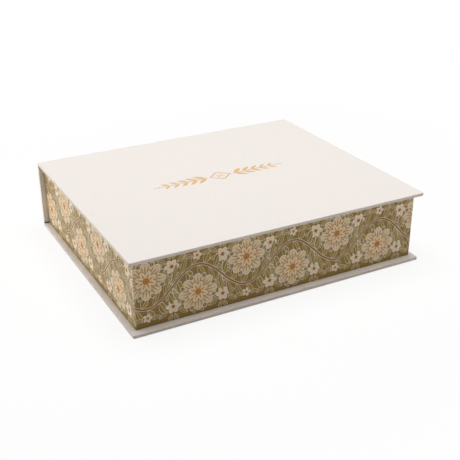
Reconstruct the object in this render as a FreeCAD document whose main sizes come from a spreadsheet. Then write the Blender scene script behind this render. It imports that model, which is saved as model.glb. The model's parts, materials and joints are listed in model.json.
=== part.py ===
import FreeCAD, Part
import os
import Sketcher

# Book-style keepsake box: a lidless tray of board, wrapped in printed paper, stands in a case of
# three cream boards. The base board lies under the tray, the spine board is pasted to the tray's
# back wall, and the lid board folds back on a paper hinge along the spine's head.
#
# Frame: X runs along the spine, the front is -Y, the spine is at +Y and Z is up.
# The origin is the middle of the underside. Sizes are in millimetres.

# Driving dimensions: name, value, meaning
DRIVING_SIZES = [
    ("case_length", 290, "length of the lid, spine and base, over their paper"),
    ("case_depth", 245, "front edge of the lid to the back of the spine"),
    ("case_height", 69, "underside of the base to the top of the lid"),
    ("case_board", 2.5, "board in the lid, spine and base"),
    ("case_corner", 1.3, "radius of the front corners of the lid and base boards"),
    ("cover_paper", 0.2, "cream paper over the case boards"),
    ("cover_turn_in", 15, "width of cover paper turned over each board edge"),
    ("joint_gap", 1.3, "bare paper between the spine and each panel"),
    ("lining_paper", 0.2, "paper pasted over the inside faces"),
    ("lining_margin", 3.5, "cover paper left showing round the lid lining"),
    ("lid_clearance", 0.3, "air between the lid lining and the tray rim"),
    ("front_overhang", 7.2, "lid and base past the front of the tray"),
    ("side_overhang", 5, "lid, spine and base past each end of the tray"),
    ("wall_board", 2, "board in the tray walls"),
    ("floor_thickness", 2, "board in the tray floor"),
    ("wrap_paper", 0.2, "printed paper round the tray"),
    ("wrap_turn_in", 16, "printed paper turned down inside the walls"),
    ("wrap_turn_under", 12, "printed paper turned under the floor"),
    ("stay_paper", 0.1, "tape over each tray corner, under the print"),
    ("stay_leg", 14, "width of the tape on each side of a corner"),
    ("stay_margin", 3, "tape kept short of the wall's head and foot"),
    ("wall_lining_drop", 4, "tray rim to the top of the wall lining"),
]

# Points closer than this are the same point
SAME_PLACE = 0.001

doc = FreeCAD.newDocument("keepsake_box")
sheet = doc.addObject("Spreadsheet::Sheet", "sizes")
for row, (alias, value, meaning) in enumerate(DRIVING_SIZES, start=1):
    sheet.set(f"A{row}", alias)
    sheet.set(f"B{row}", str(value))
    sheet.setAlias(f"B{row}", alias)
    sheet.set(f"C{row}", meaning)
doc.recompute()

# Levels above the underside
CASE_PANEL = "(sizes.case_board + 2 * sizes.cover_paper)"
LID_UNDERSIDE = f"(sizes.case_height - {CASE_PANEL})"
LID_LINING_FACE = f"({LID_UNDERSIDE} - sizes.lining_paper)"
SPINE_FOOT = f"({CASE_PANEL} + sizes.joint_gap)"
SPINE_HEAD = f"({LID_UNDERSIDE} - sizes.joint_gap)"
SPINE_HEAD_LINED = f"({SPINE_HEAD} + sizes.lining_paper)"
TRAY_FOOT = CASE_PANEL
TRAY_RIM = f"({LID_LINING_FACE} - sizes.lid_clearance)"
WALL_FOOT = f"({TRAY_FOOT} + sizes.wrap_paper)"
WALL_HEAD = f"({TRAY_RIM} - sizes.wrap_paper)"
FLOOR_TOP = f"({WALL_FOOT} + sizes.floor_thickness)"

# Planes from front to back
CASE_FRONT = "(-sizes.case_depth / 2)"
CASE_BACK = "(sizes.case_depth / 2)"
SPINE_BOARD_BACK = f"({CASE_BACK} - sizes.cover_paper)"
SPINE_BOARD_FRONT = f"({SPINE_BOARD_BACK} - sizes.case_board)"
SPINE_LINED_FRONT = f"({SPINE_BOARD_FRONT} - sizes.cover_paper - sizes.lining_paper)"
TRAY_FRONT = f"({CASE_FRONT} + sizes.front_overhang)"
TRAY_BACK = SPINE_LINED_FRONT

# Lengths along the spine
CASE_BOARD_LENGTH = "(sizes.case_length - 2 * sizes.cover_paper)"
TURN_IN_WINDOW_LENGTH = "(sizes.case_length - 2 * sizes.cover_turn_in)"
LINING_LENGTH = "(sizes.case_length - 2 * sizes.lining_margin)"
TRAY_LENGTH = "(sizes.case_length - 2 * sizes.side_overhang)"

# The print lies over the corner tapes, so it stands off the walls by the tape as well
WRAP_BUILD = "(sizes.wrap_paper + sizes.stay_paper)"
LINING_BUILD = "(sizes.wrap_paper + sizes.lining_paper)"


def grown(low, high, amount):
    """The span between two planes, made longer by an amount at both ends."""
    return f"({low} - {amount})", f"({high} + {amount})"


def shrunk(low, high, amount):
    """The span between two planes, made shorter by an amount at both ends."""
    return f"({low} + {amount})", f"({high} - {amount})"


def middle_span(length):
    """The span of a length that lies evenly about the middle of the box."""
    return f"(-{length} / 2)", f"({length} / 2)"


def place_at(item, spans):
    """Bind an item's lowest corner to the lower ends of its three spans."""
    for axis, (low, high) in zip("xyz", spans):
        item.setExpression(f"Placement.Base.{axis}", low)


def make_block(name, *spans):
    """A block between two planes along each of x, y and z, for joining and cutting."""
    block = doc.addObject("Part::Box", name)
    for side, (low, high) in zip(("Length", "Width", "Height"), spans):
        block.setExpression(side, f"{high} - {low}")
    place_at(block, spans)
    return block


def make_cut(name, base, *tools):
    """What is left of a base once each tool has been taken from it."""
    for number, tool in enumerate(tools, start=1):
        last = number == len(tools)
        cut = doc.addObject("Part::Cut", name if last else f"{name}_stage_{number}")
        cut.Base = base
        cut.Tool = tool
        base = cut
    return base


def make_fuse(name, *pieces):
    """Several blocks joined into one sheet."""
    fuse = doc.addObject("Part::MultiFuse", name)
    fuse.Shapes = list(pieces)
    return fuse


def make_board(name, *spans, front_radius=None):
    """A board cut to a rectangle and padded to its third size, between planes along x, y and z."""
    body = doc.addObject("PartDesign::Body", name)
    sketch = body.newObject("Sketcher::SketchObject", f"{name}_outline")
    ground = [plane for plane in body.Origin.OriginFeatures if plane.Role == "XY_Plane"]
    sketch.AttachmentSupport = [(ground[0], "")]
    sketch.MapMode = "FlatFace"
    draw_rectangle(sketch)
    for constraint, (low, high) in zip(("width", "depth"), spans):
        sketch.setExpression(f"Constraints.{constraint}", f"{high} - {low}")
    pad = body.newObject("PartDesign::Pad", f"{name}_pad")
    pad.Profile = sketch
    low, high = spans[2]
    pad.setExpression("Length", f"{high} - {low}")
    if front_radius is not None:
        round_front_corners(body, pad, front_radius)
    place_at(body, spans)
    return body


def round_front_corners(body, pad, radius):
    """Round the two upright edges at the front of a padded rectangle."""
    doc.recompute()
    front = pad.Shape.BoundBox.YMin
    names = []
    for number, edge in enumerate(pad.Shape.Edges, start=1):
        box = edge.BoundBox
        if box.YMax - front < SAME_PLACE and box.XLength < SAME_PLACE:
            names.append(f"Edge{number}")
    fillet = body.newObject("PartDesign::Fillet", f"{body.Name}_corners")
    fillet.Base = (pad, names)
    fillet.setExpression("Radius", radius)


def draw_rectangle(sketch):
    """A rectangle with one corner on the sketch's origin and named width and depth."""
    corners = [FreeCAD.Vector(x, y, 0) for x, y in ((0, 0), (1, 0), (1, 1), (0, 1))]
    for start, end in zip(corners, corners[1:] + corners[:1]):
        sketch.addGeometry(Part.LineSegment(start, end), False)
    for side in range(4):
        sketch.addConstraint(Sketcher.Constraint("Coincident", side, 2, (side + 1) % 4, 1))
    for side, direction in enumerate(("Horizontal", "Vertical", "Horizontal", "Vertical")):
        sketch.addConstraint(Sketcher.Constraint(direction, side))
    sketch.addConstraint(Sketcher.Constraint("Coincident", 0, 1, -1, 1))
    for name, kind, side in (("width", "DistanceX", 0), ("depth", "DistanceY", 1)):
        number = sketch.addConstraint(Sketcher.Constraint(kind, side, 1, side, 2, 1))
        sketch.renameConstraint(number, name)


def make_panel_cover(name, low, high, window_low, window_high):
    """Cover paper round a lid or base board: outer face, four edges, and turn-ins on three sides."""
    case_length = middle_span("sizes.case_length")
    case_depth = (CASE_FRONT, CASE_BACK)
    paper_corner = "sizes.case_corner + sizes.cover_paper"
    outside = make_board(f"{name}_outside", case_length, case_depth, (low, high), front_radius=paper_corner)
    board_space = make_panel_board(f"{name}_board_space", low, high)
    window = make_block(
        f"{name}_window",
        middle_span(TURN_IN_WINDOW_LENGTH),
        (f"({CASE_FRONT} + sizes.cover_turn_in)", SPINE_BOARD_BACK),
        (window_low, window_high),
    )
    return make_cut(name, outside, board_space, window)


def make_panel_board(name, low, high):
    """The board inside a lid or base cover."""
    return make_board(
        name,
        middle_span(CASE_BOARD_LENGTH),
        shrunk(CASE_FRONT, CASE_BACK, "sizes.cover_paper"),
        shrunk(low, high, "sizes.cover_paper"),
        front_radius="sizes.case_corner",
    )


def make_base():
    """The base board and its cover, which opens upwards under the tray."""
    board = make_panel_board("base_board", "0", CASE_PANEL)
    window_low = f"({CASE_PANEL} - sizes.cover_paper)"
    cover = make_panel_cover("base_cover", "0", CASE_PANEL, window_low, CASE_PANEL)
    return [board, cover]


def make_lid():
    """The lid board, its cover and the lining that is pasted over the cover's turn-ins."""
    board = make_panel_board("lid_board", LID_UNDERSIDE, "sizes.case_height")
    board_face = f"({LID_UNDERSIDE} + sizes.cover_paper)"
    cover = make_panel_cover("lid_cover", LID_UNDERSIDE, "sizes.case_height", LID_UNDERSIDE, board_face)
    lining_sheet = make_block(
        "lid_lining_sheet",
        middle_span(LINING_LENGTH),
        (f"({CASE_FRONT} + sizes.lining_margin)", SPINE_BOARD_BACK),
        (LID_LINING_FACE, board_face),
    )
    lining = make_cut("lid_lining", lining_sheet, cover)
    return [board, cover, lining]


def make_spine():
    """The spine board, its cover with a turn-in at each end, and the lining over its head."""
    height = (SPINE_FOOT, SPINE_HEAD)
    thickness = (SPINE_BOARD_FRONT, SPINE_BOARD_BACK)
    board = make_board("spine_board", middle_span(CASE_BOARD_LENGTH), thickness, height)
    turn_in_front = f"({SPINE_BOARD_FRONT} - sizes.cover_paper)"
    cover_sheet = make_block(
        "spine_cover_sheet", middle_span("sizes.case_length"), (turn_in_front, CASE_BACK), height
    )
    board_space = make_block("spine_board_space", middle_span(CASE_BOARD_LENGTH), thickness, height)
    window = make_block(
        "spine_window", middle_span(TURN_IN_WINDOW_LENGTH), (turn_in_front, SPINE_BOARD_FRONT), height
    )
    cover = make_cut("spine_cover", cover_sheet, board_space, window)
    lining_sheet = make_block(
        "spine_lining_sheet",
        middle_span(LINING_LENGTH),
        (SPINE_LINED_FRONT, SPINE_BOARD_BACK),
        (SPINE_FOOT, SPINE_HEAD_LINED),
    )
    board_below = make_block("spine_board_below", middle_span(CASE_BOARD_LENGTH), thickness, height)
    lining = make_cut("spine_lining", lining_sheet, board_below, cover)
    return [board, cover, lining]


def make_hinges():
    """The bare strips of cover that fold between the spine and each panel, the upper one lined."""
    case_length = middle_span("sizes.case_length")
    cover_layer = (SPINE_BOARD_BACK, CASE_BACK)
    base_hinge = make_block("base_hinge", case_length, cover_layer, (CASE_PANEL, SPINE_FOOT))
    hinge_cover = make_block("lid_hinge_cover", case_length, cover_layer, (SPINE_HEAD, LID_UNDERSIDE))
    hinge_lining = make_block(
        "lid_hinge_lining",
        middle_span(LINING_LENGTH),
        (f"({SPINE_BOARD_BACK} - sizes.lining_paper)", SPINE_BOARD_BACK),
        (SPINE_HEAD_LINED, LID_LINING_FACE),
    )
    lid_hinge = make_fuse("lid_hinge", hinge_cover, hinge_lining)
    return [base_hinge, lid_hinge]


# Outside and inside of the bare tray walls, as spans along x, y and z
WALLS_OUTSIDE = (
    shrunk(*middle_span(TRAY_LENGTH), WRAP_BUILD),
    shrunk(TRAY_FRONT, TRAY_BACK, WRAP_BUILD),
    (WALL_FOOT, WALL_HEAD),
)
WALLS_INSIDE = (
    shrunk(*WALLS_OUTSIDE[0], "sizes.wall_board"),
    shrunk(*WALLS_OUTSIDE[1], "sizes.wall_board"),
    (WALL_FOOT, WALL_HEAD),
)


def make_walls():
    """Front and back walls over the full length, with the end walls and the floor between them."""
    (left_out, right_out), (front_out, back_out), height = WALLS_OUTSIDE
    (left_in, right_in), (front_in, back_in), height = WALLS_INSIDE
    full_length = (left_out, right_out)
    between = (front_in, back_in)
    floor_span = (WALL_FOOT, FLOOR_TOP)
    return [
        make_board("front_wall", full_length, (front_out, front_in), height),
        make_board("back_wall", full_length, (back_in, back_out), height),
        make_board("left_wall", (left_out, left_in), between, height),
        make_board("right_wall", (right_in, right_out), between, height),
        make_board("floor_board", (left_in, right_in), between, floor_span),
    ]


def make_corner_stays():
    """A strip of tape folded round each upright corner of the tray."""
    height = shrunk(WALL_FOOT, WALL_HEAD, "sizes.stay_margin")
    length, depth = WALLS_OUTSIDE[:2]
    taped_length = grown(*length, "sizes.stay_paper")
    taped_depth = grown(*depth, "sizes.stay_paper")
    tape = make_block("stay_tape", taped_length, taped_depth, height)
    walls = make_block("stay_walls", length, depth, height)
    bare_length = make_block("stay_bare_length", shrunk(*length, "sizes.stay_leg"), taped_depth, height)
    bare_depth = make_block("stay_bare_depth", taped_length, shrunk(*depth, "sizes.stay_leg"), height)
    return make_cut("corner_stays", tape, walls, bare_length, bare_depth)


def make_wrap(stays):
    """Printed paper round the tray, over its rim, down inside the walls and under the floor."""
    length, depth, height = WALLS_OUTSIDE
    wrap_sheet = make_block(
        "wrap_sheet", middle_span(TRAY_LENGTH), (TRAY_FRONT, TRAY_BACK), (TRAY_FOOT, TRAY_RIM)
    )
    wall_length, wall_depth, height = WALLS_INSIDE
    turn_in_foot = f"({WALL_HEAD} - sizes.wrap_turn_in)"
    walls = make_cut(
        "wrap_wall_space",
        make_block("wrap_walls_outside", length, depth, height),
        make_block("wrap_walls_inside", wall_length, wall_depth, (turn_in_foot, WALL_HEAD)),
    )
    mouth = make_block(
        "wrap_mouth",
        shrunk(*wall_length, "sizes.wrap_paper"),
        shrunk(*wall_depth, "sizes.wrap_paper"),
        (turn_in_foot, TRAY_RIM),
    )
    under = make_block(
        "wrap_underside_window",
        shrunk(*middle_span(TRAY_LENGTH), "sizes.wrap_turn_under"),
        shrunk(TRAY_FRONT, TRAY_BACK, "sizes.wrap_turn_under"),
        (TRAY_FOOT, WALL_FOOT),
    )
    return make_cut("tray_wrap", wrap_sheet, walls, mouth, under, stays)


def make_tray_linings(wrap):
    """Paper round the inside of the walls, lapped over the print, and a sheet on the floor."""
    length, depth, height = WALLS_INSIDE
    lined_length = shrunk(*length, LINING_BUILD)
    lined_depth = shrunk(*depth, LINING_BUILD)
    lining_height = (FLOOR_TOP, f"({TRAY_RIM} - sizes.wall_lining_drop)")
    wall_lining = make_cut(
        "wall_lining",
        make_block("wall_lining_sheet", length, depth, lining_height),
        make_block("wall_lining_space", lined_length, lined_depth, lining_height),
        wrap,
    )
    floor_height = (FLOOR_TOP, f"({FLOOR_TOP} + sizes.lining_paper)")
    floor_lining = make_board("floor_lining", lined_length, lined_depth, floor_height)
    return [wall_lining, floor_lining]


def make_tray():
    """Every piece of the tray, from its boards outwards and inwards."""
    walls = make_walls()
    stays = make_corner_stays()
    wrap = make_wrap(stays)
    return walls + [stays, wrap] + make_tray_linings(wrap)


def write_nodes(nodes):
    """Check the whole document, then write each piece to its own file."""
    for item in doc.Objects:
        if "Invalid" in item.State or "Error" in item.State:
            raise RuntimeError(f"{item.Label} failed: {item.State}")
    for node in nodes:
        if node.Shape.isNull() or not node.Shape.isValid():
            raise RuntimeError(f"{node.Label} has no valid shape")
    os.makedirs("parts", exist_ok=True)
    for node in nodes:
        node.Shape.exportStep(f"parts/{node.Label}.step")
        print(f"{node.Label}: {len(node.Shape.Solids)} solid, {node.Shape.Volume:.1f} cubic mm")


all_nodes = make_base() + make_spine() + make_lid() + make_hinges() + make_tray()
doc.recompute()
write_nodes(all_nodes)
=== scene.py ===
import json
import math
import bmesh
import bpy
from mathutils import Matrix, Vector


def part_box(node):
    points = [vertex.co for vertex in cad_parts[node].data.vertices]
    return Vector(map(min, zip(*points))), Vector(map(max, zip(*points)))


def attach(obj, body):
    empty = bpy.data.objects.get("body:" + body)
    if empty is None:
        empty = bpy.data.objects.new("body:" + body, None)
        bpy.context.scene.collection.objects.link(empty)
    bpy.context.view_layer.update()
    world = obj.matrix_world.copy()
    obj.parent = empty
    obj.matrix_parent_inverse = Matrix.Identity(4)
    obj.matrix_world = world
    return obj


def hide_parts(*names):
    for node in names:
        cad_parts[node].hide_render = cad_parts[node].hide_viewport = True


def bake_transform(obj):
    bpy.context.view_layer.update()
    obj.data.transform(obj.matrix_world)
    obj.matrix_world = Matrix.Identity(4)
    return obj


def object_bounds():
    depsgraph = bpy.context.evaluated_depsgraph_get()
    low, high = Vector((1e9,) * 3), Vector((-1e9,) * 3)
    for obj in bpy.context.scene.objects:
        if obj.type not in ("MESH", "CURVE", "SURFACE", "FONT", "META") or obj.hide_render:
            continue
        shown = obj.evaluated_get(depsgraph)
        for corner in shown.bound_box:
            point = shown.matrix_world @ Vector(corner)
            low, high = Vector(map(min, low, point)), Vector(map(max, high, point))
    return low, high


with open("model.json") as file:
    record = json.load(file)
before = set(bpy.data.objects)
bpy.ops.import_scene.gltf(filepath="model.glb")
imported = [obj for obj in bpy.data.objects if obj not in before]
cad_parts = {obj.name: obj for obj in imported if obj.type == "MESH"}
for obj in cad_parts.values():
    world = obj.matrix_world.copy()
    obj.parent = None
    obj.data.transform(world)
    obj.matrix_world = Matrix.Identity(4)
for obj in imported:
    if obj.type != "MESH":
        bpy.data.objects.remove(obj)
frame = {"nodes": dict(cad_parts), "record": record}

# Book-style keepsake box, in metres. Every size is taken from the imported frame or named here.
cad_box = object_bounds()
MM = 0.001
X = Vector((1, 0, 0))
Y = Vector((0, 1, 0))
Z = Vector((0, 0, 1))

# Cover paper of the lid, spine and base
COVER_PAPER = 0.2 * MM
COVER_EDGE = 0.4 * MM
COVER_TURN_IN = 15.0 * MM
COVER_FRONT_CORNER = 1.5 * MM
COVER_BACK_CORNER = 0.25 * MM
PANEL_CORNERS = (COVER_BACK_CORNER, COVER_FRONT_CORNER, COVER_FRONT_CORNER, COVER_BACK_CORNER)
TIGHT_CORNERS = (COVER_BACK_CORNER,) * 4
SPINE_LAP = 0.06 * MM
FLAP_START = 0.7 * MM
FLAP_STEP = 0.08 * MM
FLAP_SINK = 0.05 * MM

# Bare strips of cover paper at the two folds
FOLD_END = 0.1 * MM
FOLD_LAP = 0.45 * MM
FOLD_SET_IN = 0.06 * MM
FOLD_GROOVE = 0.35 * MM
FOLD_PAPER = 0.3 * MM
FOLD_STEPS = 12
FOLD_LENGTH_STEPS = 48

# Printed paper round the tray
PRINT_PAPER = 0.2 * MM
PRINT_STAND_OFF = 0.3 * MM
PRINT_CORNER = 0.6 * MM
PRINT_RIM = 0.6 * MM
PRINT_FOOT = 0.8 * MM
PRINT_TURN_IN = 16.0 * MM
PRINT_TURN_UNDER = 12.0 * MM
RIM_WIDTH = 2.5 * MM
RIM_WEAR = 0.45

# Lining paper, pressed down beside the turn-ins that it laps over
LINING_SHEET = 0.2 * MM
LINING_EDGE = 0.08 * MM
LINING_DIP = 0.13 * MM
DIP_WIDTH = 1.2 * MM
DIP_STEPS = 6
SPINE_HEAD_RADIUS = 0.15 * MM

# How the sheets are drawn
ARC_STEPS = 5
LONG_STEPS = 24
FLAT_HOLD = 0.4 * MM
CORNER_HOLD = 0.8 * MM
CAP_INSET = 22.0 * MM
LEAST_RADIUS = 0.02 * MM
INNER_ROUNDING = 0.1
SMOOTH_ANGLE = math.radians(40)

# Foil ornament on the lid, with the outlines of its bars, rules and dots in millimetres
FOIL_CENTRE = Vector((0.5 * MM, 4.5 * MM))
FOIL_THICKNESS = 0.07 * MM
FOIL_PROUD = 0.03 * MM
FOIL_HEART = 0.9 * MM
FOIL_PETALS = 4
FOIL_PETAL_START = 1.5 * MM
FOIL_PETAL_LENGTH = 3.4 * MM
FOIL_PETAL_WIDTH = 1.9 * MM
LOZENGE_BAR = ((11.7, 0.25), (0.3, 9.75), (0.3, 7.65), (9.2, 0.25))
RULE_OUTLINE = ((14.0, 0.9), (62.0, 0.5), (62.0, -0.5), (14.0, -0.9))
RULE_DOTS = ((64.2, 1.3), (67.2, 0.9), (69.3, 0.6))
FOIL_LEAVES = 5
FOIL_LEAF_FIRST = 16.0 * MM
FOIL_LEAF_PITCH = 9.4 * MM
FOIL_LEAF_LENGTH = 13.2 * MM
FOIL_LEAF_WIDTH = 4.4 * MM
FOIL_LEAF_SHORTER = 1.2 * MM
FOIL_LEAF_NARROWER = 0.35 * MM
FOIL_LEAF_RISE = 1.0 * MM
FOIL_LEAF_ANGLE = math.radians(37)
FOIL_LEAF_SKEW = 0.8
LEAF_STEPS = 10
DISC_STEPS = 24


# Shapes


def arc(centre, radius, start, end):
    """Points on a rounded edge of a profile, as (inset, height), between two angles in degrees."""
    points = []
    for step in range(ARC_STEPS + 1):
        angle = math.radians(start + (end - start) * step / ARC_STEPS)
        points.append((centre[0] + radius * math.cos(angle), centre[1] + radius * math.sin(angle)))
    return points


def eased(share):
    """A share from 0 to 1 that starts and ends softly."""
    return share * share * (3 - 2 * share)


def ring(half_x, half_y, radii, inset):
    """A rounded rectangle, as (x, y, is it a corner), drawn in by an inset. Radii start at back left."""
    signs = ((-1, 1), (-1, -1), (1, -1), (1, 1))
    corners = []
    for number, ((side_x, side_y), outer) in enumerate(zip(signs, radii)):
        radius = max(outer - inset, INNER_ROUNDING * inset, LEAST_RADIUS)
        centre_x = side_x * (half_x - inset - radius)
        centre_y = side_y * (half_y - inset - radius)
        start = 90 + 90 * number
        corners.append(arc((centre_x, centre_y), radius, start, start + 90))
    points = []
    for corner, following in zip(corners, corners[1:] + corners[:1]):
        points += [(x, y, 1.0) for x, y in corner]
        start, end = Vector(corner[-1]), Vector(following[0])
        hold = min(CORNER_HOLD / (end - start).length, 0.5 / LONG_STEPS)
        for share in (hold, *(step / LONG_STEPS for step in range(1, LONG_STEPS)), 1 - hold):
            points.append((*start.lerp(end, share), 0.0))
    return points


def running_lengths(points):
    """The distance along a line of points, from its first point to each one."""
    lengths = [0.0]
    for start, end in zip(points, points[1:]):
        lengths.append(lengths[-1] + math.dist(start[:2], end[:2]))
    return lengths


def new_sheet():
    """An empty shape with the map "paper", in metres, and "wear", which is 1 on the folds that rub."""
    shape = bmesh.new()
    map_layer = shape.loops.layers.uv.new("paper")
    wear_layer = shape.verts.layers.float.new("wear")
    return shape, map_layer, wear_layer


def join_rings(shape, ring_a, ring_b):
    """Faces between two closed rings with the same number of points."""
    for number in range(len(ring_a)):
        after = (number + 1) % len(ring_a)
        shape.faces.new((ring_a[number], ring_a[after], ring_b[after], ring_b[number]))


def map_flat(shape, map_layer, axis):
    """Lay the paper's map along x and one other axis."""
    for face in shape.faces:
        for loop in face.loops:
            loop[map_layer].uv = (loop.vert.co.x, loop.vert.co[axis])


def add_mesh(name, shape):
    """Turn a shape into an object that is smooth over its folds and sharp at its cut edges."""
    mesh = bpy.data.meshes.new(name)
    shape.to_mesh(mesh)
    shape.free()
    mesh.polygons.foreach_set("use_smooth", [True] * len(mesh.polygons))
    mesh.set_sharp_from_angle(angle=SMOOTH_ANGLE)
    piece = bpy.data.objects.new(name, mesh)
    bpy.context.scene.collection.objects.link(piece)
    return piece


def finish_sheet(name, shape):
    """Turn a closed shape into an object whose faces all look outwards."""
    bmesh.ops.recalc_face_normals(shape, faces=shape.faces)
    return add_mesh(name, shape)


def sweep(name, half_x, half_y, radii, profile, place, closed=False):
    """A sheet swept round a rounded rectangle. The profile is (inset, height, wear) from edge to edge.

    An open profile is capped at both ends. The map "paper" runs along the sheet.
    """
    shape, map_layer, wear_layer = new_sheet()
    outline = ring(half_x, half_y, radii, 0.0)
    along = running_lengths(outline + outline[:1])
    across = running_lengths(profile + profile[:1])
    rows = []
    for inset, height, wear in profile:
        row = []
        for x, y, corner in ring(half_x, half_y, radii, inset):
            vertex = shape.verts.new(place @ Vector((x, y, height)))
            vertex[wear_layer] = max(wear, corner if inset < FLAT_HOLD else 0.0)
            row.append(vertex)
        rows.append(row)
    count = len(outline)
    bands = len(rows) if closed else len(rows) - 1
    for band in range(bands):
        low, high = rows[band], rows[(band + 1) % len(rows)]
        for number in range(count):
            after = (number + 1) % count
            face = shape.faces.new((low[number], low[after], high[after], high[number]))
            corners = ((number, band), (number + 1, band), (number + 1, band + 1), (number, band + 1))
            for loop, (step_along, step_across) in zip(face.loops, corners):
                loop[map_layer].uv = (along[step_along], across[step_across])
    if not closed:
        for row in (rows[0], rows[-1]):
            face = shape.faces.new(row)
            for loop, (x, y, _) in zip(face.loops, outline):
                loop[map_layer].uv = (x, y)
    return finish_sheet(name, shape)


def worn(points, wear=1.0):
    """Profile points with their share of wear."""
    return [(inset, height, wear) for inset, height in points]


def middle(low, high):
    """The middle of a box between two corners."""
    return (low + high) / 2


def axes(origin, across, along, outwards):
    """The place of a piece that is drawn with its own x, y and height."""
    matrix = Matrix((across, along, outwards)).transposed().to_4x4()
    matrix.translation = origin
    return matrix


# Cover paper


def panel_profile(thickness):
    """A board's cover in section: inside of the paper, edge of the turn-in, then the outside."""
    inside_radius = COVER_EDGE - COVER_PAPER
    low, high = COVER_EDGE, thickness - COVER_EDGE
    inside = [(CAP_INSET, thickness - COVER_PAPER)]
    inside += arc((COVER_EDGE, high), inside_radius, 90, 180)
    inside += arc((COVER_EDGE, low), inside_radius, 180, 270)
    inside += [(COVER_TURN_IN, COVER_PAPER)]
    profile = worn(inside, 0.0)
    profile += worn([(COVER_TURN_IN, 0.0), (COVER_EDGE + FLAT_HOLD, 0.0)], 0.0)
    profile += worn(arc((COVER_EDGE, low), COVER_EDGE, 270, 180))
    profile += worn(arc((COVER_EDGE, high), COVER_EDGE, 180, 90))
    profile += worn([(COVER_EDGE + FLAT_HOLD, thickness), (CAP_INSET, thickness)], 0.0)
    return profile


def cover_lid():
    """Cream paper over the lid board, outside upwards, with the foil standing a hair above it."""
    low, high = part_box("lid_cover")
    centre = middle(low, high)
    half = (high - low) / 2
    place = axes(Vector((centre.x, centre.y, low.z)), X, Y, Z)
    thickness = high.z - low.z - FOIL_PROUD
    return sweep("lid_paper", half.x, half.y, PANEL_CORNERS, panel_profile(thickness), place)


def cover_base():
    """Cream paper under the base board, outside downwards."""
    low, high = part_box("base_cover")
    centre = middle(low, high)
    half = (high - low) / 2
    place = axes(Vector((centre.x, centre.y, high.z)), X, Y, -Z)
    return sweep("base_paper", half.x, half.y, PANEL_CORNERS, panel_profile(high.z - low.z), place)


def cover_spine():
    """Cream paper over the spine board and its bare ends, outside to the back."""
    low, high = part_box("spine_cover")
    centre = middle(low, high)
    half = (high - low) / 2
    place = axes(Vector((centre.x, low.y, centre.z)), X, Z, Y)
    half_height = half.z + SPINE_LAP
    return sweep("spine_paper", half.x, half_height, TIGHT_CORNERS, panel_profile(high.y - low.y), place)


def fold_strip(name, node):
    """A bare strip of cover paper, pressed into a shallow groove between two boards."""
    low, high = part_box(node)
    length = high.x - low.x - 2 * FOLD_END
    section = []
    for step in range(FOLD_STEPS + 1):
        share = step / FOLD_STEPS
        height = low.z - FOLD_LAP + (high.z - low.z + 2 * FOLD_LAP) * share
        depth = high.y - FOLD_SET_IN - FOLD_GROOVE * math.sin(math.pi * share)
        section.append((depth, height))
    section += [(depth - FOLD_PAPER, height) for depth, height in reversed(section)]
    shape, map_layer, _ = new_sheet()
    rows = []
    for step in range(FOLD_LENGTH_STEPS + 1):
        x = -length / 2 + length * step / FOLD_LENGTH_STEPS
        rows.append([shape.verts.new((x, depth, height)) for depth, height in section])
    for row, following in zip(rows, rows[1:]):
        join_rings(shape, row, following)
    for end in (rows[0], rows[-1]):
        for number in range(FOLD_STEPS):
            shape.faces.new((end[number], end[number + 1], end[-2 - number], end[-1 - number]))
    map_flat(shape, map_layer, axis=2)
    return finish_sheet(name, shape)


def turn_in_flap(name, node, depth, outwards):
    """The front turn-in where it laps over the side ones, with its ends cut at 45 degrees."""
    low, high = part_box(node)
    face = high.z if outwards > 0 else low.z
    half = (high.x - low.x) / 2
    outline = [(-half + FLAP_START, FLAP_START), (half - FLAP_START, FLAP_START)]
    outline += [(half - depth, depth), (-half + depth, depth)]
    shape, map_layer, _ = new_sheet()
    levels = []
    for height in (face - outwards * FLAP_SINK, face + outwards * FLAP_STEP):
        levels.append([shape.verts.new((x, low.y + inset, height)) for x, inset in outline])
    for level in levels:
        shape.faces.new(level)
    join_rings(shape, *levels)
    map_flat(shape, map_layer, axis=1)
    return finish_sheet(name, shape)


# Printed paper and linings


def wrap_tray():
    """Printed paper round the tray: under the floor, up the outside, over the rim and down inside."""
    low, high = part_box("tray_wrap")
    centre = middle(low, high)
    half = (high - low) / 2
    rim = high.z - low.z
    inner = RIM_WIDTH - PRINT_PAPER
    inner_rim = PRINT_RIM - PRINT_PAPER
    turn_in_foot = rim - PRINT_PAPER - PRINT_TURN_IN
    profile = worn([(PRINT_TURN_UNDER, 0.0), (PRINT_FOOT + FLAT_HOLD, 0.0)], 0.0)
    profile += worn(arc((PRINT_FOOT, PRINT_FOOT), PRINT_FOOT, 270, 180), 0.0)
    profile += worn([(0.0, PRINT_FOOT + FLAT_HOLD), (0.0, rim - PRINT_RIM - FLAT_HOLD)], 0.0)
    profile += worn(arc((PRINT_RIM, rim - PRINT_RIM), PRINT_RIM, 180, 90), RIM_WEAR)
    profile += worn(arc((RIM_WIDTH - PRINT_RIM, rim - PRINT_RIM), PRINT_RIM, 90, 0), RIM_WEAR)
    profile += worn([(RIM_WIDTH, rim - PRINT_RIM - FLAT_HOLD), (RIM_WIDTH, turn_in_foot)], 0.0)
    profile += worn([(inner, turn_in_foot)], 0.0)
    profile += worn(arc((RIM_WIDTH - PRINT_RIM, rim - PRINT_RIM), inner_rim, 0, 90), 0.0)
    profile += worn(arc((PRINT_RIM, rim - PRINT_RIM), inner_rim, 90, 180), 0.0)
    profile += worn([(PRINT_STAND_OFF, PRINT_STAND_OFF), (PRINT_TURN_UNDER, PRINT_PAPER)], 0.0)
    place = axes(Vector((centre.x, centre.y, low.z)), X, Y, Z)
    return sweep("tray_print", half.x, half.y, (PRINT_CORNER,) * 4, profile, place, closed=True)


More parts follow.
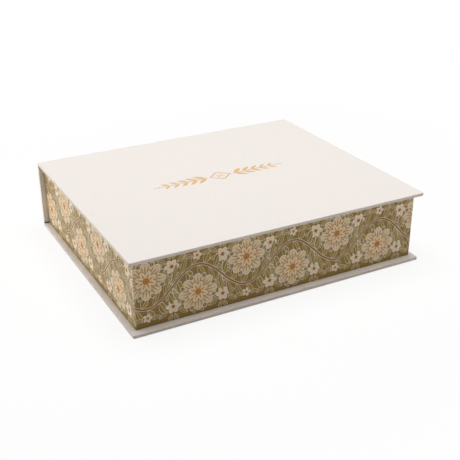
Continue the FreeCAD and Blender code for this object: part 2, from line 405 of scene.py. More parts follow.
def sheet_profile(thickness, dip_inset=0.0, dip=0.0):
    """A pasted sheet in section, with its middle pressed down inside the turn-ins that it laps over."""
    profile = worn([(CAP_INSET, 0.0), (LINING_EDGE, 0.0)], 0.0)
    profile += worn(arc((LINING_EDGE, thickness - LINING_EDGE), LINING_EDGE, 180, 90), 0.0)
    flat = [(LINING_EDGE + FLAT_HOLD, thickness)]
    if dip > 0:
        for step in range(DIP_STEPS + 1):
            share = step / DIP_STEPS
            flat.append((dip_inset + DIP_WIDTH * share, thickness - dip * eased(share)))
    flat.append((CAP_INSET, thickness - dip))
    return profile + worn(flat, 0.0)


def line_lid():
    """Lining paper inside the lid, face downwards."""
    low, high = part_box("lid_lining")
    _, cover_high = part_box("lid_cover")
    dip_inset = COVER_TURN_IN - (cover_high.x - high.x)
    centre = middle(low, high)
    half = (high - low) / 2
    place = axes(Vector((centre.x, centre.y, low.z + LINING_SHEET)), X, Y, -Z)
    profile = sheet_profile(LINING_SHEET, dip_inset, LINING_DIP)
    return sweep("lid_lining_paper", half.x, half.y, TIGHT_CORNERS, profile, place)


def line_floor():
    """Lining paper on the tray floor, face upwards, out to the lining of the walls."""
    low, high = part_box("floor_lining")
    wall_low, wall_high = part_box("wall_lining")
    centre = middle(wall_low, wall_high)
    half = (wall_high - wall_low) / 2
    place = axes(Vector((centre.x, centre.y, low.z)), X, Y, Z)
    profile = sheet_profile(high.z - low.z)
    inside_x, inside_y = half.x - LINING_SHEET, half.y - LINING_SHEET
    return sweep("floor_lining_paper", inside_x, inside_y, TIGHT_CORNERS, profile, place)


def line_walls():
    """Lining paper round the inside of the walls, lapped over the turned-in print."""
    low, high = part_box("wall_lining")
    _, wrap_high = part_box("tray_wrap")
    centre = middle(low, high)
    half = (high - low) / 2
    height = high.z - low.z
    step_up = wrap_high.z - PRINT_PAPER - PRINT_TURN_IN - low.z
    lap = PRINT_PAPER
    back = [(0.0, 0.0), (0.0, step_up - DIP_WIDTH), (lap, step_up + LINING_EDGE)]
    face = arc((lap + LINING_EDGE, height - LINING_EDGE), LINING_EDGE, 180, 0)
    for step in range(DIP_STEPS + 1):
        share = step / DIP_STEPS
        face.append((lap + LINING_SHEET - lap * eased(share), step_up + LINING_EDGE - DIP_WIDTH * share))
    face.append((LINING_SHEET, 0.0))
    place = axes(Vector((centre.x, centre.y, low.z)), X, Y, Z)
    profile = worn(back + face, 0.0)
    return sweep("wall_lining_paper", half.x, half.y, TIGHT_CORNERS, profile, place, closed=True)


def line_spine():
    """Lining paper behind the tray, turned over the head of the spine."""
    low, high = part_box("spine_lining")
    _, board_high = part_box("spine_board")
    front = low.y + LINING_SHEET
    head = high.z - LINING_SHEET
    section = [(front, low.z), (low.y, low.z)]
    section += arc((low.y + SPINE_HEAD_RADIUS, high.z - SPINE_HEAD_RADIUS), SPINE_HEAD_RADIUS, 180, 90)
    section += [(board_high.y, high.z), (board_high.y, head), (front, head)]
    shape, map_layer, _ = new_sheet()
    ends = [[shape.verts.new((x, y, z)) for y, z in section] for x in (low.x, high.x)]
    join_rings(shape, *ends)
    for end in ends:
        shape.faces.new(end)
    map_flat(shape, map_layer, axis=2)
    return finish_sheet("spine_lining_paper", shape)


# Foil ornament, pressed into the lid


def leaf_outline(base, length, width, angle):
    """A pointed leaf as a list of points, from its stalk round to its stalk."""
    sides = []
    for sign in (1, -1):
        side = []
        for step in range(LEAF_STEPS + 1):
            share = step / LEAF_STEPS
            side.append((length * share, sign * width / 2 * math.sin(math.pi * share ** FOIL_LEAF_SKEW)))
        sides.append(side)
    outline = sides[0] + sides[1][-2:0:-1]
    turn = Matrix.Rotation(angle, 2)
    return [Vector(base) + turn @ Vector(point) for point in outline]


def disc_outline(centre, radius):
    """A round dot as a list of points."""
    points = []
    for step in range(DISC_STEPS):
        angle = 2 * math.pi * step / DISC_STEPS
        points.append(Vector(centre) + radius * Vector((math.cos(angle), math.sin(angle))))
    return points


def foil_side(side):
    """One half of the lozenge and the leafy rule beside it, to the right for 1 and the left for -1."""
    outlines = []
    for upper in (1, -1):
        outlines.append([Vector((x * side, y * upper)) * MM for x, y in LOZENGE_BAR])
    outlines.append([Vector((x * side, y)) * MM for x, y in RULE_OUTLINE])
    for place, radius in RULE_DOTS:
        outlines.append(disc_outline((place * MM * side, 0), radius * MM))
    for number in range(FOIL_LEAVES):
        stalk = FOIL_LEAF_FIRST + FOIL_LEAF_PITCH * number
        length = FOIL_LEAF_LENGTH - FOIL_LEAF_SHORTER * number
        width = FOIL_LEAF_WIDTH - FOIL_LEAF_NARROWER * number
        for upper in (1, -1):
            outline = leaf_outline((stalk, upper * FOIL_LEAF_RISE), length, width, upper * FOIL_LEAF_ANGLE)
            outlines.append([Vector((point.x * side, point.y)) for point in outline])
    return outlines


def foil_outlines():
    """The shapes stamped in foil: a flower in a lozenge, between two leafy rules that end in dots."""
    outlines = [disc_outline((0, 0), FOIL_HEART)]
    for number in range(FOIL_PETALS):
        turn = (number + 0.5) * 2 * math.pi / FOIL_PETALS
        base = FOIL_PETAL_START * Vector((math.cos(turn), math.sin(turn)))
        outlines.append(leaf_outline(base, FOIL_PETAL_LENGTH, FOIL_PETAL_WIDTH, turn))
    return outlines + foil_side(1) + foil_side(-1)


def stamp_foil():
    """Foil shapes as thin plates let into the top of the lid."""
    _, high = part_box("lid_cover")
    shape, _, _ = new_sheet()
    for outline in foil_outlines():
        points = [point + FOIL_CENTRE for point in outline]
        levels = (high.z, high.z - FOIL_THICKNESS)
        plates = [[shape.verts.new((point.x, point.y, z)) for point in points] for z in levels]
        for plate in plates:
            shape.faces.new(plate)
        join_rings(shape, *plates)
    return finish_sheet("foil_ornament", shape)


# Materials


class Field:
    """A number that a material works out at every point, combined with plain arithmetic."""

    def __init__(self, tree, socket):
        self.tree = tree
        self.socket = socket

    def __add__(self, other):
        return combine(self.tree, "ADD", self, other)

    def __sub__(self, other):
        return combine(self.tree, "SUBTRACT", self, other)

    def __rsub__(self, other):
        return combine(self.tree, "SUBTRACT", other, self)

    def __mul__(self, other):
        return combine(self.tree, "MULTIPLY", self, other)

    def __truediv__(self, other):
        return combine(self.tree, "DIVIDE", self, other)

    def __abs__(self):
        return combine(self.tree, "ABSOLUTE", self)

    def apply(self, operation, *others):
        """Any other operation of the maths node."""
        return combine(self.tree, operation, self, *others)

    def ramp(self, start, end, low=0.0, high=1.0):
        """A smooth rise from low to high as the number goes from start to end."""
        node = self.tree.nodes.new("ShaderNodeMapRange")
        node.interpolation_type = "SMOOTHSTEP"
        for name, value in zip(("From Min", "From Max", "To Min", "To Max"), (start, end, low, high)):
            node.inputs[name].default_value = value
        self.tree.links.new(self.socket, node.inputs["Value"])
        return Field(self.tree, node.outputs["Result"])


def connect(tree, value, socket):
    """Link a field to a socket, or set a plain value on it."""
    if isinstance(value, Field):
        tree.links.new(value.socket, socket)
    else:
        socket.default_value = value


def combine(tree, operation, *values):
    """One maths node."""
    node = tree.nodes.new("ShaderNodeMath")
    node.operation = operation
    for value, socket in zip(values, node.inputs):
        connect(tree, value, socket)
    return Field(tree, node.outputs[0])


def paint(tree, below, colour, mask, share=1.0):
    """A colour laid over another where the mask is 1, at a share of its strength."""
    node = tree.nodes.new("ShaderNodeMix")
    node.data_type = "RGBA"
    strength = mask if share == 1.0 else mask * share
    for value, socket in ((strength, node.inputs[0]), (below, node.inputs[6]), (colour, node.inputs[7])):
        connect(tree, value, socket)
    return Field(tree, node.outputs[2])


def noise(tree, coordinates, cells, detail=2.0, roughness=0.5):
    """Even noise at so many cells to the metre."""
    node = tree.nodes.new("ShaderNodeTexNoise")
    node.inputs["Scale"].default_value = cells
    node.inputs["Detail"].default_value = detail
    node.inputs["Roughness"].default_value = roughness
    tree.links.new(coordinates, node.inputs["Vector"])
    return Field(tree, node.outputs["Fac"])


def attribute(tree, name):
    """A number stored on the mesh."""
    node = tree.nodes.new("ShaderNodeAttribute")
    node.attribute_name = name
    return Field(tree, node.outputs["Fac"])


def bump(tree, height, distance):
    """A normal bent by a height field, at a depth in metres."""
    node = tree.nodes.new("ShaderNodeBump")
    node.inputs["Strength"].default_value = 1.0
    node.inputs["Distance"].default_value = distance
    tree.links.new(height.socket, node.inputs["Height"])
    return Field(tree, node.outputs["Normal"])


def stretched(tree, coordinates, stretch):
    """Coordinates drawn out along each axis by its own amount."""
    node = tree.nodes.new("ShaderNodeMapping")
    node.inputs["Scale"].default_value = [1 / amount for amount in stretch]
    tree.links.new(coordinates, node.inputs["Vector"])
    return node.outputs["Vector"]


def split_axes(tree, coordinates):
    """The x, y and z of coordinates, each as a field."""
    node = tree.nodes.new("ShaderNodeSeparateXYZ")
    tree.links.new(coordinates, node.inputs["Vector"])
    return [Field(tree, node.outputs[name]) for name in "XYZ"]


def srgb(red, green, blue):
    """A screen colour, 0 to 255, as the linear colour that a shader takes."""
    channels = []
    for value in (red, green, blue):
        share = value / 255
        channels.append(share / 12.92 if share <= 0.04045 else ((share + 0.055) / 1.055) ** 2.4)
    return (*channels, 1.0)


def new_material(name):
    """An empty material with its shader and the mesh's own coordinates."""
    material = bpy.data.materials.new(name)
    material.use_nodes = True
    tree = material.node_tree
    shader = tree.nodes["Principled BSDF"]
    coordinates = tree.nodes.new("ShaderNodeTexCoord").outputs["Object"]
    return material, tree, shader, coordinates


# Paper, board and foil: cells of noise to the metre, depths of relief and colours
CLOUD_CELLS = 34.0
FIBRE_CELLS = 900.0
GRAIN_CELLS = 2600.0
STRAND_CELLS = 2400.0
STRAND_STRETCHES = ((7, 1, 1), (1, 7, 2))
RUB_CELLS = 420.0
PAPER_RELIEF = 0.02 * MM
PAPER_ROUGHNESS = (0.71, 0.83)
PAPER_SPECULAR = 0.2
# Painted shade in the joint between the base and the spine: its soft edge, its fade at the ends and its
# colour
JOINT_SHADE_SOFT = 0.15 * MM
JOINT_SHADE_END = 1.2 * MM
PAINTED_JOINT_SHADE = srgb(78, 68, 54)
COVER_COLOURS = (srgb(239, 233, 228), srgb(236, 229, 223), srgb(231, 222, 211))
LINING_COLOURS = (srgb(232, 226, 218), srgb(228, 220, 209), srgb(221, 211, 197))
PULP_CELLS = 260.0
FLECK_CELLS = 1500.0
BOARD_RELIEF = 0.06 * MM
BOARD_ROUGHNESS = (0.82, 0.95)
BOARD_FLECK = srgb(92, 84, 74)
GREYBOARD_COLOURS = (srgb(158, 148, 136), srgb(134, 125, 114))
TAPE_COLOURS = (srgb(196, 166, 124), srgb(176, 144, 102))
DAPPLE_CELLS = 1300.0
FOIL_RELIEF = 0.02 * MM
FOIL_ROUGHNESS = (0.46, 0.6)
FOIL_METALLIC = 0.2
FOIL_GOLD = srgb(206, 165, 108)
FOIL_BRIGHT = srgb(223, 187, 135)


def joint_shade_mask(tree, coordinates):
    """1 inside the narrow joint between the base and the spine, where shade is painted."""
    x, depth, height = split_axes(tree, coordinates)
    spine_low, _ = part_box("spine_lining")
    strip_low, strip_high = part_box("base_hinge")
    behind = depth.ramp(spine_low.y - JOINT_SHADE_SOFT, spine_low.y + JOINT_SHADE_SOFT)
    before = depth.ramp(strip_low.y - 2 * JOINT_SHADE_SOFT, strip_low.y, 1.0, 0.0)
    from_middle = abs(height - (strip_low.z + strip_high.z) / 2)
    half = (strip_high.z - strip_low.z) / 2
    level = from_middle.ramp(half, half + JOINT_SHADE_SOFT, 1.0, 0.0)
    inwards = abs(x).ramp(strip_high.x - JOINT_SHADE_END, strip_high.x - JOINT_SHADE_END / 2, 1.0, 0.0)
    return behind * before * level * inwards


def paper_material(name, colour, shade, rubbed):
    """Matt paper: soft cloudiness, short fibres, a felt-like grain, rubbed folds and painted shade in the
    joint between the base and the spine.
    """
    material, tree, shader, coordinates = new_material(name)
    clouds = noise(tree, coordinates, CLOUD_CELLS, detail=3.0, roughness=0.55)
    fibres = noise(tree, coordinates, FIBRE_CELLS, detail=4.0, roughness=0.65)
    grain = noise(tree, coordinates, GRAIN_CELLS, roughness=0.6)
    tone = clouds.ramp(0.25, 0.8) * 0.16 + fibres.ramp(0.3, 0.8) * 0.3
    surface = paint(tree, colour, shade, tone)
    for stretch in STRAND_STRETCHES:
        drawn_out = stretched(tree, coordinates, stretch)
        strands = noise(tree, drawn_out, STRAND_CELLS, detail=1.0, roughness=0.4)
        surface = paint(tree, surface, rubbed, strands.ramp(0.62, 0.74), share=0.5)
    rub = attribute(tree, "wear") * noise(tree, coordinates, RUB_CELLS, detail=3.0).ramp(0.42, 0.68)
    surface = paint(tree, surface, rubbed, rub, share=0.55)
    # Painted shade darkens the joint between the base and the spine
    surface = paint(tree, surface, PAINTED_JOINT_SHADE, joint_shade_mask(tree, coordinates), share=0.85)
    connect(tree, surface, shader.inputs["Base Color"])
    connect(tree, fibres.ramp(0.2, 0.8, *PAPER_ROUGHNESS), shader.inputs["Roughness"])
    connect(tree, bump(tree, fibres * 0.4 + grain * 0.6, PAPER_RELIEF), shader.inputs["Normal"])
    shader.inputs["Specular IOR Level"].default_value = PAPER_SPECULAR
    return material


def board_material(name, colour, mottle):
    """Recycled board or tape: mottled pulp with dark flecks."""
    material, tree, shader, coordinates = new_material(name)
    pulp = noise(tree, coordinates, PULP_CELLS, detail=5.0, roughness=0.7)
    flecks = noise(tree, coordinates, FLECK_CELLS)
    surface = paint(tree, colour, mottle, pulp.ramp(0.35, 0.7), share=0.6)
    surface = paint(tree, surface, BOARD_FLECK, flecks.ramp(0.64, 0.72), share=0.5)
    connect(tree, surface, shader.inputs["Base Color"])
    connect(tree, pulp.ramp(0.2, 0.8, *BOARD_ROUGHNESS), shader.inputs["Roughness"])
    connect(tree, bump(tree, pulp + flecks * 0.5, BOARD_RELIEF), shader.inputs["Normal"])
    return material


def foil_material(name):
    """Stamped gold foil with a faintly uneven, paper-backed surface."""
    material, tree, shader, coordinates = new_material(name)
    dapple = noise(tree, coordinates, DAPPLE_CELLS, detail=3.0, roughness=0.6)
    surface = paint(tree, FOIL_GOLD, FOIL_BRIGHT, dapple.ramp(0.35, 0.7))
    connect(tree, surface, shader.inputs["Base Color"])
    connect(tree, dapple.ramp(0.25, 0.75, *FOIL_ROUGHNESS), shader.inputs["Roughness"])
    shader.inputs["Metallic"].default_value = FOIL_METALLIC
    connect(tree, bump(tree, dapple, FOIL_RELIEF), shader.inputs["Normal"])
    return material


# Printed pattern, in millimetres along the paper
FLOWER_PITCH = 46.0
PRINT_SHIFT = 9.0
VINE_RISE = 15.0
VINE_LEAVES = 5
TENDRIL_RISE = 25.0
TENDRIL_LEAVES = 8
FLOWER_DROP = 10.8
FLOWER_REACH = 17.0
FLOWER_PETALS = 8
VEIN_RATE = 27.0
SEED_COUNT = 9
GROUND_DOT_PITCH = 3.0
LINE_SOFT = 0.16
SPRIG_HEIGHT = 18.6
SPRIG_PETALS = 6
SPRIG_REACH = 6.8
HOLLOW_HEIGHT = 23.4
HOLLOW_PETALS = 5
HOLLOW_REACH = 4.5
# Leaves of a sprig on one side of its stalk: centre, angle, half length, half width
SPRIG_LEAVES = (
    ((3.6, 9.0), 48.0, 4.4, 1.8),
    ((8.6, 17.1), 8.0, 3.4, 1.6),
    ((9.0, 24.6), 34.0, 4.8, 1.9),
    ((2.6, 29.0), 66.0, 3.6, 1.6),
)
GROUND = srgb(160, 131, 57)
GROUND_DEEP = srgb(128, 100, 35)
LEAF = srgb(168, 145, 57)
LEAF_DEEP = srgb(134, 109, 35)
BROWN = srgb(140, 90, 42)
TAUPE = srgb(208, 167, 112)
TAN = srgb(236, 199, 140)
CREAM = srgb(252, 232, 196)
PALE = srgb(254, 241, 216)
OCHRE = srgb(214, 148, 58)
RUST = srgb(160, 80, 38)


def filled(distance):
    """1 inside a shape, where its distance is below zero."""
    return distance.ramp(-LINE_SOFT, LINE_SOFT, 1.0, 0.0)


def lined(distance, half_width):
    """1 on the outline of a shape."""
    return filled(abs(distance) - half_width)


def centred(value, pitch):
    """A number that repeats with a pitch, counted from the middle of each repeat."""
    return value - (value / pitch).apply("ROUND") * pitch


def radius_of(x, y):
    """Distance from a centre."""
    return (x * x + y * y).apply("SQRT")


def petal_ring(x, y, count, turn, centre, half_length, half_width):
    """Rough distance to a ring of petals, and the place along and across the nearest petal."""
    sector = 2 * math.pi / count
    local = centred(y.apply("ARCTAN2", x) + turn, sector)
    radius = radius_of(x, y)
    along = radius * local.apply("COSINE")
    across = radius * local.apply("SINE")
    distance = (radius_of((along - centre) / half_length, across / half_width) - 1.0) * half_width
    return distance, along, across


def leaf_shape(x, y, centre, angle, half_length, half_width):
    """Rough distance to a pointed leaf, and the place across it."""
    cosine, sine = math.cos(math.radians(angle)), math.sin(math.radians(angle))
    from_x, from_y = x - centre[0], y - centre[1]
    along = from_x * cosine + from_y * sine
    across = from_y * cosine - from_x * sine
    share = along / half_length
    distance = abs(across) - (1.0 - share * share) * half_width
    return distance, across


def vine_line(x, y, rise):
    """Distance to a waving stem, the place along it and its length over one pitch."""
    phase = x * (math.pi / FLOWER_PITCH)
    steepest = rise * math.pi / FLOWER_PITCH
    slope = phase.apply("SINE") * steepest
    distance = (y - phase.apply("COSINE") * rise) / (slope * slope + 1.0).apply("SQRT")
    stretch = (1.0 + math.hypot(1.0, steepest)) / 2
    along = x * stretch - (phase * 2.0).apply("SINE") * ((stretch - 1.0) * FLOWER_PITCH / (2 * math.pi))
    return distance, along, stretch * FLOWER_PITCH


def paint_leaf(tree, surface, leaf, across):
    """A leaf with a pale outline and midrib, one half darker than the other."""
    surface = paint(tree, surface, LEAF, filled(leaf))
    surface = paint(tree, surface, LEAF_DEEP, filled(leaf) * across.ramp(-0.2, 0.2), share=0.6)
    surface = paint(tree, surface, PALE, lined(across, half_width=0.2) * filled(leaf + 0.3), share=0.8)
    return paint(tree, surface, PALE, lined(leaf, half_width=0.22), share=0.85)


def paint_leafy_vine(tree, surface, x, y, upper):
    """A stem with leaves that lean along it, by turns on one side and the other."""
    distance, along, length = vine_line(x, y, VINE_RISE)
    pitch = length / VINE_LEAVES
    place = centred(along + upper * distance.apply("SIGN") * (pitch / 4), pitch)
    leaf, across = leaf_shape(
        place, abs(distance), centre=(0.6, 6.2), angle=60.0, half_length=6.2, half_width=2.9)
    surface = paint_leaf(tree, surface, leaf, across)
    surface = paint(tree, surface, BROWN, lined(distance, half_width=1.0))
    return paint(tree, surface, PALE, lined(abs(distance) - 0.95, half_width=0.24), share=0.9)


def paint_tendril(tree, surface, x, y, upper):
    """A thin pale stem with small leaves, by turns on one side and the other."""
    distance, along, length = vine_line(x, y * -1.0, TENDRIL_RISE)
    pitch = length / TENDRIL_LEAVES
    place = centred(along - upper * distance.apply("SIGN") * (pitch / 4), pitch)
    leaf, across = leaf_shape(
        place, abs(distance), centre=(0.6, 2.9), angle=40.0, half_length=3.6, half_width=1.5)
    surface = paint_leaf(tree, surface, leaf, across)
    return paint(tree, surface, PALE, lined(distance, half_width=0.32))


def paint_sprig(tree, surface, x, y):
    """A floret on an upright stalk with leaves round it."""
    surface = paint(tree, surface, PALE, lined(x, half_width=0.3) * filled(y - SPRIG_HEIGHT))
    for sizes in SPRIG_LEAVES:
        leaf, across = leaf_shape(x, y, *sizes)
        surface = paint_leaf(tree, surface, leaf, across)
    return paint_floret(tree, surface, x, y - SPRIG_HEIGHT, SPRIG_PETALS, SPRIG_REACH)


def paint_hollow(tree, surface, x, y):
    """A floret between two leaves, in the hollow of the wave across from a rosette."""
    leaf, across = leaf_shape(
        abs(x), y, centre=(8.0, HOLLOW_HEIGHT + 0.6), angle=12.0, half_length=4.2, half_width=1.7)
    surface = paint_leaf(tree, surface, leaf, across)
    return paint_floret(tree, surface, x, y - HOLLOW_HEIGHT, HOLLOW_PETALS, HOLLOW_REACH)


def paint_floret(tree, surface, x, y, count, reach):
    """A small pale flower with a rust heart."""
    petals, along, across = petal_ring(
        x, y, count, turn=0.0, centre=reach * 0.56, half_length=reach * 0.46, half_width=reach * 0.36)
    surface = paint(tree, surface, PALE, filled(petals))
    fading = along.ramp(reach * 0.35, reach * 0.8, 1.0, 0.0)
    rib = lined(across, half_width=0.16) * filled(petals + 0.5) * fading
    surface = paint(tree, surface, BROWN, rib, share=0.7)
    surface = paint(tree, surface, BROWN, lined(petals, half_width=0.17), share=0.8)
    radius = radius_of(x, y)
    surface = paint(tree, surface, OCHRE, filled(radius - reach * 0.26))
    return paint(tree, surface, RUST, filled(radius - reach * 0.15))


def paint_sepals(tree, surface, x, y, reach):
    """Dark pointed leaves that show between the petals of a rosette."""
    sepals, _, across = petal_ring(
        x, y, FLOWER_PETALS, turn=math.pi / FLOWER_PETALS,
        centre=reach * 0.8, half_length=reach * 0.25, half_width=reach * 0.12)
    surface = paint(tree, surface, LEAF_DEEP, filled(sepals))
    surface = paint(tree, surface, PALE, lined(across, half_width=0.2) * filled(sepals + 0.3), share=0.7)
    return paint(tree, surface, PALE, lined(sepals, half_width=0.26), share=0.8)


def paint_outer_petals(tree, surface, x, y, reach):
    """The large petals of a rosette, with veins that fan out from its heart."""
    petals, along, across = petal_ring(
        x, y, FLOWER_PETALS, turn=0.0,
        centre=reach * 0.6, half_length=reach * 0.4, half_width=reach * 0.268)
    petal_tone = paint(tree, TAN, CREAM, along.ramp(reach * 0.35, reach * 0.9))
    surface = paint(tree, surface, petal_tone, filled(petals))
    fan = (across / along * VEIN_RATE).apply("COSINE").ramp(0.35, 0.85)
    veins = fan * along.ramp(reach * 0.62, reach, 1.0, 0.0) * filled(petals + 0.5)
    surface = paint(tree, surface, BROWN, veins, share=0.8)
    surface = paint(tree, surface, BROWN, lined(petals + 0.75, half_width=0.13), share=0.5)
    return paint(tree, surface, PALE, lined(petals, half_width=0.34))


def paint_inner_petals(tree, surface, x, y, reach):
    """The small pointed petals of a rosette, each with an ochre flame."""
    petals, along, across = petal_ring(
        x, y, FLOWER_PETALS, turn=math.pi / FLOWER_PETALS,
        centre=reach * 0.36, half_length=reach * 0.24, half_width=reach * 0.145)
    surface = paint(tree, surface, CREAM, filled(petals))
    flame_width = along.ramp(reach * 0.18, reach * 0.52, 0.95, 0.05)
    flame = filled(abs(across) - flame_width) * filled(petals + 0.3)
    surface = paint(tree, surface, OCHRE, flame, share=0.85)
    return paint(tree, surface, BROWN, lined(petals, half_width=0.18), share=0.8)


def paint_heart(tree, surface, x, y, reach):
    """The round heart of a rosette, with a ring of seeds."""
    rim = radius_of(x, y) - reach * 0.19
    surface = paint(tree, surface, OCHRE, filled(rim))
    seeds, _, _ = petal_ring(
        x, y, SEED_COUNT, turn=0.0,
        centre=reach * 0.13, half_length=reach * 0.028, half_width=reach * 0.028)
    surface = paint(tree, surface, RUST, filled(seeds))
    surface = paint(tree, surface, RUST, filled(radius_of(x, y) - reach * 0.045))
    return paint(tree, surface, PALE, lined(rim, half_width=0.22), share=0.8)


def paint_rosette(tree, surface, x, y, reach):
    """A large open rosette, from its sepals up to its heart."""
    for layer in (paint_sepals, paint_outer_petals, paint_inner_petals, paint_heart):
        surface = layer(tree, surface, x, y, reach)
    return surface


def floral_print(tree, u, v, row_centre):
    """The whole pattern at a point of the paper.

    A leafy vine and a thin tendril wave along the wall and cross between the rosettes, which hang above
    and below the middle by turns.
    """
    number = (u / FLOWER_PITCH).apply("ROUND")
    upper = 1.0 - (number * 0.5).apply("FRACT") * 4.0
    x = u - number * FLOWER_PITCH
    y = (v - row_centre) * upper
    dots = radius_of(centred(u + v, GROUND_DOT_PITCH), centred(u - v, GROUND_DOT_PITCH))
    surface = paint(tree, GROUND, GROUND_DEEP, lined(dots - 1.1, half_width=0.35), share=0.7)
    surface = paint(tree, surface, TAUPE, filled(dots - 0.42), share=0.8)
    surface = paint_tendril(tree, surface, x, y, upper)
    surface = paint_sprig(tree, surface, FLOWER_PITCH / 2 - abs(x), abs(y))
    surface = paint_leafy_vine(tree, surface, x, y, upper)
    surface = paint_hollow(tree, surface, x, y)
    return paint_rosette(tree, surface, x, y + FLOWER_DROP, FLOWER_REACH)


# Printed paper: cells of noise to the metre, and drift, painted shade at the foot and finish
HAND_CELLS = 70.0
HAND_DRIFT_ALONG = 1.2
HAND_DRIFT_UP = 0.9
INK_CELLS = 120.0
PRINT_FIBRE_CELLS = 1100.0
PRINT_RUB_CELLS = 520.0
# Painted shade along the print's foot, where it meets the base: colour, height and strength
PAINTED_FOOT_SHADE = srgb(72, 56, 30)
FOOT_SHADE_HEIGHT = 0.7
FOOT_SHADE_SHARE = 0.3
PRINT_RELIEF = 0.02 * MM
PRINT_ROUGHNESS = (0.42, 0.54)
PRINT_SPECULAR = 0.4


def print_material(name, row_start, row_centre, foot):
    """Matt printed paper, with ink that varies a little, folds rubbed pale and painted shade along the
    foot.
    """
    material, tree, shader, coordinates = new_material(name)
    paper_map = tree.nodes.new("ShaderNodeUVMap")
    paper_map.uv_map = "paper"
    map_x, map_y, _ = split_axes(tree, paper_map.outputs["UV"])
    hand = noise(tree, paper_map.outputs["UV"], HAND_CELLS, detail=1.0) - 0.5
    u = map_x * (1 / MM) - row_start + hand * HAND_DRIFT_ALONG
    v = map_y * (1 / MM)
    surface = floral_print(tree, u, v + hand * HAND_DRIFT_UP, row_centre)
    ink = noise(tree, coordinates, INK_CELLS, detail=4.0, roughness=0.6)
    surface = paint(tree, surface, BROWN, ink.ramp(0.45, 0.8), share=0.1)
    fibres = noise(tree, coordinates, PRINT_FIBRE_CELLS, detail=3.0, roughness=0.6)
    surface = paint(tree, surface, CREAM, fibres.ramp(0.52, 0.8), share=0.08)
    rub = attribute(tree, "wear") * noise(tree, coordinates, PRINT_RUB_CELLS, detail=3.0).ramp(0.3, 0.62)
    surface = paint(tree, surface, PALE, rub, share=0.3)
    # Painted shade: a dark contact line along the foot of the print
    surface = paint(tree, surface, PAINTED_FOOT_SHADE, v.ramp(foot, foot + FOOT_SHADE_HEIGHT, FOOT_SHADE_SHARE, 0.0))
    connect(tree, surface, shader.inputs["Base Color"])
    connect(tree, fibres.ramp(0.2, 0.8, *PRINT_ROUGHNESS), shader.inputs["Roughness"])
    connect(tree, bump(tree, fibres, PRINT_RELIEF), shader.inputs["Normal"])
    shader.inputs["Specular IOR Level"].default_value = PRINT_SPECULAR
    return material


# Dressing the frame


def dress(piece, material, body, slot, *nodes):
    """Give a piece its material and the body that it moves with, and hide the CAD nodes that it stands
    for.
    """
    piece.data.materials.append(material)
    if body is not None:
        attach(piece, body)
    if nodes:
        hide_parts(*nodes)
    return piece


def dress_case():
    """Cream paper on the lid, base and spine, with its turn-ins and its two folds."""
    cover = paper_material("cream_cover", *COVER_COLOURS)
    dress(cover_lid(), cover, "lid", "cover_paper", "lid_cover")
    dress(cover_base(), cover, "tray", "cover_paper", "base_cover")
    dress(cover_spine(), cover, "tray", "cover_paper", "spine_cover")
    case_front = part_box("lid_cover")[0].y
    lid_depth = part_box("lid_lining")[0].y - case_front
    base_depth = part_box("tray_wrap")[0].y - case_front
    dress(turn_in_flap("lid_turn_in", "lid_cover", lid_depth, -1), cover, "lid", "cover_paper")
    dress(turn_in_flap("base_turn_in", "base_cover", base_depth, 1), cover, "tray", "cover_paper")
    dress(fold_strip("base_fold", "base_hinge"), cover, "tray", "cover_paper", "base_hinge")
    lid_fold = dress(fold_strip("lid_fold", "lid_hinge"), cover, None, "cover_paper", "lid_hinge")
    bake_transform(lid_fold)


def dress_tray():
    """Printed paper on the tray, with the pattern placed from the middle of the front wall."""
    low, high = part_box("tray_wrap")
    size = high - low
    row_centre = (PRINT_TURN_UNDER + size.z / 2) / MM
    row_start = (size.y + size.x / 2) / MM + PRINT_SHIFT
    printed = print_material("vine_print", row_start, row_centre, PRINT_TURN_UNDER / MM)
    dress(wrap_tray(), printed, "tray", "printed_paper", "tray_wrap")


def dress_inside():
    """Lining paper in the lid, in the tray and on the spine."""
    lining = paper_material("cream_lining", *LINING_COLOURS)
    dress(line_lid(), lining, "lid", "lining_paper", "lid_lining")
    dress(line_floor(), lining, "tray", "lining_paper", "floor_lining")
    dress(line_walls(), lining, "tray", "lining_paper", "wall_lining")
    dress(line_spine(), lining, "tray", "lining_paper", "spine_lining")


def dress_boards():
    """Board and tape materials on the CAD nodes that stay."""
    materials = {
        "greyboard": board_material("grey_pulp_board", *GREYBOARD_COLOURS),
        "stay_tape": board_material("kraft_tape", *TAPE_COLOURS),
    }
    for entry in frame["record"]["subparts"]:
        if entry["material_slot"] in materials:
            node = frame["nodes"][entry["node"]]
            node.data.materials.clear()
            node.data.materials.append(materials[entry["material_slot"]])


def dress_box():
    """Every paper piece over the boards, the foil, and a material for every board."""
    dress_case()
    dress_tray()
    dress_inside()
    dress(stamp_foil(), foil_material("gold_foil"), "lid", None)
    dress_boards()


# Studio
IMAGE_SIZE = 460
SENSOR = 36.0
FOCAL_PIXELS = 833.48
CAMERA_PLACE = Vector((-0.3420, -0.6590, 0.3704))
CAMERA_AZIMUTH = math.radians(-28.005)
CAMERA_ELEVATION = math.radians(25.731)
CAMERA_ROLL = math.radians(-0.242)
CAMERA_NEAR = 0.01
WHITE = (1.0, 1.0, 1.0)
WARM = (1.0, 0.96, 0.91)
# Lamps: name, place, the point that it faces, width, power in watts, colour
LAMPS = (
    ("overhead", (0, 0.1, 1.5), (0, 0, 0), 1.2, 23.7, WHITE),
    ("left_fill", (-0.75, 0.45, 0.15), (-0.14, 0.02, 0.03), 0.28, 2.6, WARM),
    ("right_fill", (1.2, -0.6, 0.46), (0.04, -0.12, 0.03), 0.5, 4.2, WARM),
)
FLOOR_HALF_SIZE = 6.0
FLOOR_GAP = 0.1 * MM
FLOOR_PALE = (0.96, 0.96, 0.96, 1)
FLOOR_BOUNCE = (0.78, 0.734, 0.682, 1)
FLOOR_WHITE = 0.86
SHADOW_REACH = 0.12
SHADOW_END = 3 * SHADOW_REACH


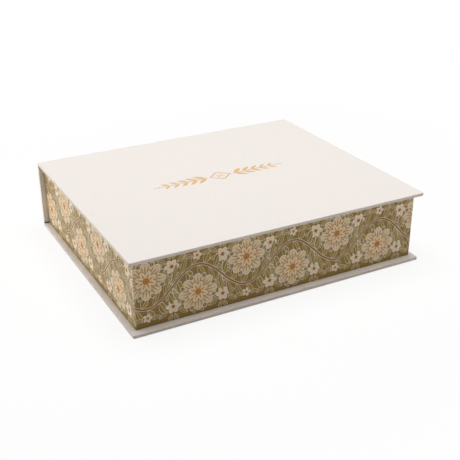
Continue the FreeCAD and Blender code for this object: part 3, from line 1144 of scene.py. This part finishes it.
def add_camera():
    """The camera of the photograph."""
    data = bpy.data.cameras.new("camera")
    data.sensor_width = SENSOR
    data.lens = FOCAL_PIXELS * SENSOR / IMAGE_SIZE
    data.clip_start = CAMERA_NEAR
    camera = bpy.data.objects.new("camera", data)
    level = math.cos(CAMERA_ELEVATION)
    back = Vector((
        math.sin(CAMERA_AZIMUTH) * level,
        -math.cos(CAMERA_AZIMUTH) * level,
        math.sin(CAMERA_ELEVATION),
    ))
    right = Z.cross(back).normalized()
    up = back.cross(right)
    turn = Matrix.Rotation(CAMERA_ROLL, 3, back)
    camera.matrix_world = axes(CAMERA_PLACE, turn @ right, turn @ up, back)
    bpy.context.scene.collection.objects.link(camera)
    bpy.context.scene.camera = camera


def add_lamp(name, place, target, size, power, colour):
    """A soft square lamp that faces a target."""
    data = bpy.data.lights.new(name, "AREA")
    data.size = size
    data.energy = power
    data.color = colour
    lamp = bpy.data.objects.new(name, data)
    lamp.location = place
    lamp.rotation_euler = (Vector(target) - Vector(place)).to_track_quat("-Z", "Y").to_euler()
    bpy.context.scene.collection.objects.link(lamp)


def seen_directly(tree):
    """1 where the camera, a reflection or a refraction looks, and 0 for soft bounced light."""
    path = tree.nodes.new("ShaderNodeLightPath")
    seen = Field(tree, path.outputs["Is Camera Ray"])
    for name in ("Is Glossy Ray", "Is Transmission Ray"):
        seen = seen.apply("MAXIMUM", Field(tree, path.outputs[name]))
    return seen


def distance_from_box(tree):
    """How far a point of the floor lies outside the box's outline, in metres."""
    coordinates = tree.nodes.new("ShaderNodeTexCoord").outputs["Object"]
    outside = []
    for place, low, high in zip(split_axes(tree, coordinates)[:2], *cad_box):
        outside.append((abs(place - (low + high) / 2) - (high - low) / 2).apply("MAXIMUM", 0.0))
    return radius_of(*outside)


def mix_shaders(tree, share, first, second):
    """Two shaders mixed, the first where the share is 0 and the second where it is 1."""
    node = tree.nodes.new("ShaderNodeMixShader")
    connect(tree, share, node.inputs[0])
    tree.links.new(first.outputs[0], node.inputs[1])
    tree.links.new(second.outputs[0], node.inputs[2])
    return node


def floor_material():
    """A floor that looks white with a faint shadow near the box, and bounces warm light."""
    material = bpy.data.materials.new("floor")
    material.use_nodes = True
    tree = material.node_tree
    tree.nodes.clear()
    bounced = tree.nodes.new("ShaderNodeBsdfDiffuse")
    bounced.inputs["Color"].default_value = FLOOR_BOUNCE
    shadowed = tree.nodes.new("ShaderNodeBsdfDiffuse")
    shadowed.inputs["Color"].default_value = FLOOR_PALE
    white = tree.nodes.new("ShaderNodeEmission")
    white.inputs["Color"].default_value = (*WHITE, 1)
    whiteness = distance_from_box(tree).ramp(SHADOW_REACH, SHADOW_END, FLOOR_WHITE, 1.0)
    shown = mix_shaders(tree, whiteness, shadowed, white)
    mixed = mix_shaders(tree, seen_directly(tree), bounced, shown)
    output = tree.nodes.new("ShaderNodeOutputMaterial")
    tree.links.new(mixed.outputs[0], output.inputs["Surface"])
    return material


def add_floor():
    """A pale floor that lights the walls from below and keeps the box's shadow."""
    shape = bmesh.new()
    bmesh.ops.create_grid(shape, x_segments=1, y_segments=1, size=FLOOR_HALF_SIZE)
    floor = add_mesh("floor", shape)
    floor.location.z = -FLOOR_GAP
    floor.data.materials.append(floor_material())


def add_world():
    """A white surround that is seen and mirrored but adds no light of its own."""
    world = bpy.data.worlds.new("studio")
    world.use_nodes = True
    tree = world.node_tree
    background = tree.nodes["Background"]
    background.inputs["Color"].default_value = (*WHITE, 1)
    connect(tree, seen_directly(tree), background.inputs["Strength"])
    bpy.context.scene.world = world


def build_studio():
    """Floor, surround, lamps, camera and plain colour handling."""
    add_world()
    add_floor()
    for lamp in LAMPS:
        add_lamp(*lamp)
    add_camera()
    bpy.context.scene.view_settings.view_transform = "Standard"


dress_box()
build_studio()
